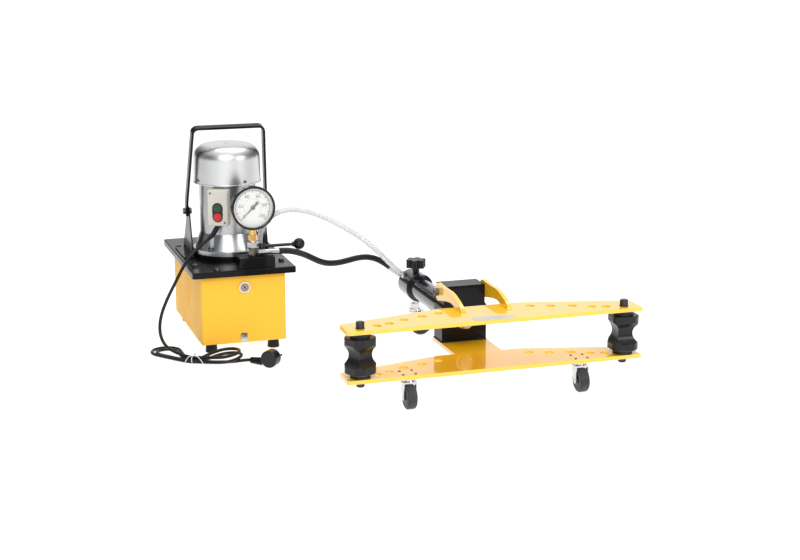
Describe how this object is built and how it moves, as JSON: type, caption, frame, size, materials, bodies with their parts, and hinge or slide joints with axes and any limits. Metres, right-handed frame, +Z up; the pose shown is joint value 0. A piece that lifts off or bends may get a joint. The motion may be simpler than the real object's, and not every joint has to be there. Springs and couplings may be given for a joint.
{
  "type": "electric hydraulic pipe bender with pump station",
  "caption": "Wheeled two-wing pipe bending frame with turning rollers and a long hydraulic ram, joined by hoses to an electric pump station with gauge, valve and handle.",
  "frame": {"origin": "on the floor, below the middle of the frame and the pump station together (the bounding box without the hoses and mains lead)", "axes": "+X along the wings to the right, +Y to the back, along the cylinder away from the wings, +Z up"},
  "size_m": [0.9308, 0.8784, 0.4945],
  "materials": {
    "yellow_paint": "semi-gloss",
    "black_paint": "semi-gloss",
    "black_iron": "semi-gloss black oxide",
    "cylinder_steel": "gloss blue-black",
    "ground_steel": "ground",
    "pin_steel": "blackened",
    "bolt_steel": "blackened",
    "chrome": "polished",
    "fittings": "polished",
    "silver_paint": "metallic silver",
    "cast_aluminium": "cast",
    "copper_iron": "laminated core with windings",
    "black_plastic": "moulded",
    "cream_plastic": "moulded",
    "green_plastic": "moulded",
    "red_plastic": "moulded",
    "dial_white": "satin",
    "needle_black": "satin",
    "clear_glass": "clear",
    "sight_glass": "clear",
    "black_rubber": "matt",
    "grey_tyre": "matt",
    "hose_black": "semi-gloss",
    "hose_clear": "translucent PVC",
    "seal_rubber": "matt",
    "filter_mesh": "woven mesh"
  },
  "bodies": {
    "frame": {"lower_wing": "yellow_paint", "square_block": "black_paint", "rod_wiper": "seal_rubber", "cylinder_tube": "cylinder_steel", "rear_collar": "cylinder_steel", "cylinder_end_cap": "cylinder_steel", "caster_mounts": "chrome", "oil_tank": "yellow_paint", "rubber_feet": "black_rubber", "tank_fittings": "chrome", "sight_glass": "sight_glass", "tank_lid": "black_paint", "hex_bolts": "bolt_steel", "motor_flange": "black_paint", "motor_housing": "cast_aluminium", "motor_bearings": "ground_steel", "stator_core": "copper_iron", "fan_cover": "silver_paint", "pan_screws": "bolt_steel", "pump_body": "black_iron", "suction_filter": "filter_mesh", "valve_block": "black_paint", "gauge_fittings": "fittings", "gauge_case": "black_paint", "gauge_dial": "dial_white", "gauge_glass": "clear_glass", "switch_box": "cream_plastic", "cord_gland": "black_rubber", "handle_brackets": "black_paint", "pivot_bolts": "bolt_steel", "hose_fittings": "fittings", "pressure_hose": "hose_black", "return_hose": "hose_clear", "power_cord": "black_rubber", "cord_hank": "black_rubber", "mains_plug": "black_rubber"},
    "ram": {"piston_ram": "ground_steel", "piston_seal": "seal_rubber"},
    "upper_wing_frame": {"upper_wing": "yellow_paint", "hinge_arms": "yellow_paint"},
    "left_roller_body": {"left_roller": "black_iron"},
    "right_roller_body": {"right_roller": "black_iron"},
    "left_pin_body": {"left_roller_pin": "pin_steel"},
    "right_pin_body": {"right_roller_pin": "pin_steel"},
    "knob_body": {"star_knob": "black_plastic"},
    "left_fork_body": {"left_caster_fork": "chrome"},
    "right_fork_body": {"right_caster_fork": "chrome"},
    "rear_fork_body": {"rear_caster_fork": "chrome"},
    "left_wheel_body": {"left_caster_wheel": "grey_tyre"},
    "right_wheel_body": {"right_caster_wheel": "grey_tyre"},
    "rear_wheel_body": {"rear_caster_wheel": "grey_tyre"},
    "rotor": {"rotor_shaft": "ground_steel", "cooling_fan": "black_plastic"},
    "lever_body": {"valve_lever": "pin_steel", "lever_ball": "black_plastic"},
    "needle_body": {"gauge_needle": "needle_black"},
    "start_button_body": {"start_button": "green_plastic"},
    "stop_button_body": {"stop_button": "red_plastic"},
    "handle_body": {"carrying_handle": "black_paint"}
  },
  "joints": [
    {"name": "ram_slide", "type": "slide", "parent": "frame", "child": "ram", "axis": [0, -1, 0], "range_m": [0, 0.19]},
    {"name": "upper_wing_flip", "type": "hinge", "parent": "frame", "child": "upper_wing_frame", "pos_m": [0.1075, -0.20425, 0.18], "axis": [-1, 0, 0], "range_deg": [0, 100]},
    {"name": "left_roller_turn", "type": "hinge", "parent": "frame", "child": "left_roller_body", "pos_m": [-0.1765, -0.40025, 0.117], "axis": [0, 0, 1], "continuous": true},
    {"name": "right_roller_turn", "type": "hinge", "parent": "frame", "child": "right_roller_body", "pos_m": [0.3915, -0.40025, 0.117], "axis": [0, 0, 1], "continuous": true},
    {"name": "left_pin_lift", "type": "slide", "parent": "frame", "child": "left_pin_body", "axis": [0, 0, 1], "range_m": [0, 0.14]},
    {"name": "right_pin_lift", "type": "slide", "parent": "frame", "child": "right_pin_body", "axis": [0, 0, 1], "range_m": [0, 0.14]},
    {"name": "bleed_knob_turn", "type": "hinge", "parent": "frame", "child": "knob_body", "pos_m": [0.1075, 0.10775, 0.165], "axis": [0, 0, 1], "continuous": true},
    {"name": "left_caster_swivel", "type": "hinge", "parent": "frame", "child": "left_fork_body", "pos_m": [-0.0785, -0.40025, 0.054], "axis": [0, 0, 1], "continuous": true},
    {"name": "right_caster_swivel", "type": "hinge", "parent": "frame", "child": "right_fork_body", "pos_m": [0.2935, -0.40025, 0.054], "axis": [0, 0, 1], "continuous": true},
    {"name": "rear_caster_swivel", "type": "hinge", "parent": "frame", "child": "rear_fork_body", "pos_m": [0.1075, 0.11375, 0.054], "axis": [0, 0, 1], "continuous": true},
    {"name": "left_wheel_roll", "type": "hinge", "parent": "left_fork_body", "child": "left_wheel_body", "pos_m": [-0.0785, -0.41425, 0.025], "axis": [1, 0, 0], "continuous": true},
    {"name": "right_wheel_roll", "type": "hinge", "parent": "right_fork_body", "child": "right_wheel_body", "pos_m": [0.2935, -0.41425, 0.025], "axis": [1, 0, 0], "continuous": true},
    {"name": "rear_wheel_roll", "type": "hinge", "parent": "rear_fork_body", "child": "rear_wheel_body", "pos_m": [0.1179, 0.10438, 0.025], "axis": [0.6691, 0.7431, 0], "continuous": true},
    {"name": "motor_spin", "type": "hinge", "parent": "frame", "child": "rotor", "pos_m": [-0.3035, 0.23575, 0.25], "axis": [0, 0, 1], "continuous": true},
    {"name": "valve_lever_turn", "type": "hinge", "parent": "frame", "child": "lever_body", "pos_m": [-0.2555, 0.10775, 0.234], "axis": [0, 0, 1], "range_deg": [0, 60]},
    {"name": "gauge_needle_turn", "type": "hinge", "parent": "frame", "child": "needle_body", "pos_m": [-0.2785, 0.08425, 0.327], "axis": [0, 1, 0], "range_deg": [0, 270]},
    {"name": "start_button_press", "type": "slide", "parent": "frame", "child": "start_button_body", "axis": [0.4384, 0.8988, 0], "range_m": [0, 0.004], "stiffness_N_per_m": 400},
    {"name": "stop_button_press", "type": "slide", "parent": "frame", "child": "stop_button_body", "axis": [0.4384, 0.8988, 0], "range_m": [0, 0.004], "stiffness_N_per_m": 400},
    {"name": "handle_fold", "type": "hinge", "parent": "frame", "child": "handle_body", "pos_m": [-0.3035, 0.25575, 0.295], "axis": [-1, 0, 0], "range_deg": [0, 110]}
  ]
}
